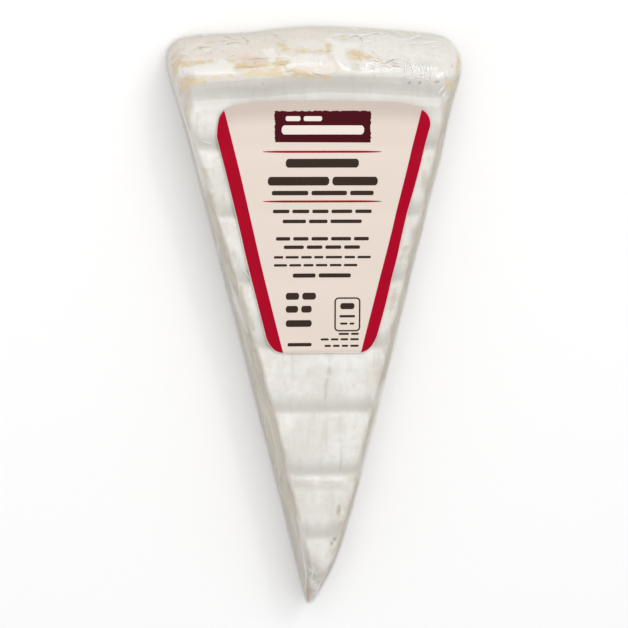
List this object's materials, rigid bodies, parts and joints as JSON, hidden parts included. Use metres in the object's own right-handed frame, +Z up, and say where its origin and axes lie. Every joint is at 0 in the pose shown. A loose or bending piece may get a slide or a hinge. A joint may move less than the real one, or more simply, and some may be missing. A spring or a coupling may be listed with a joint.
{
  "type": "brie wedge",
  "caption": "Wedge of soft ripened cheese with a white rind, drawn tight in clear film, with a printed paper-like label on its upper face.",
  "frame": {"origin": "under the middle of the wedge's box, on the surface it lies on", "axes": "+Y toward the rind, the point toward -Y, +Z up through the labelled face"},
  "size_m": [0.0822, 0.1762, 0.029],
  "materials": {
    "wrapped_cheese": "white bloomy rind and pale paste under close-fitting clear film",
    "label_print": "cream printed film label with red side stripes, a maroon field and dark print bars"
  },
  "bodies": {
    "root": {"wrapped_wedge": "wrapped_cheese", "front_label": "label_print"}
  },
  "joints": []
}
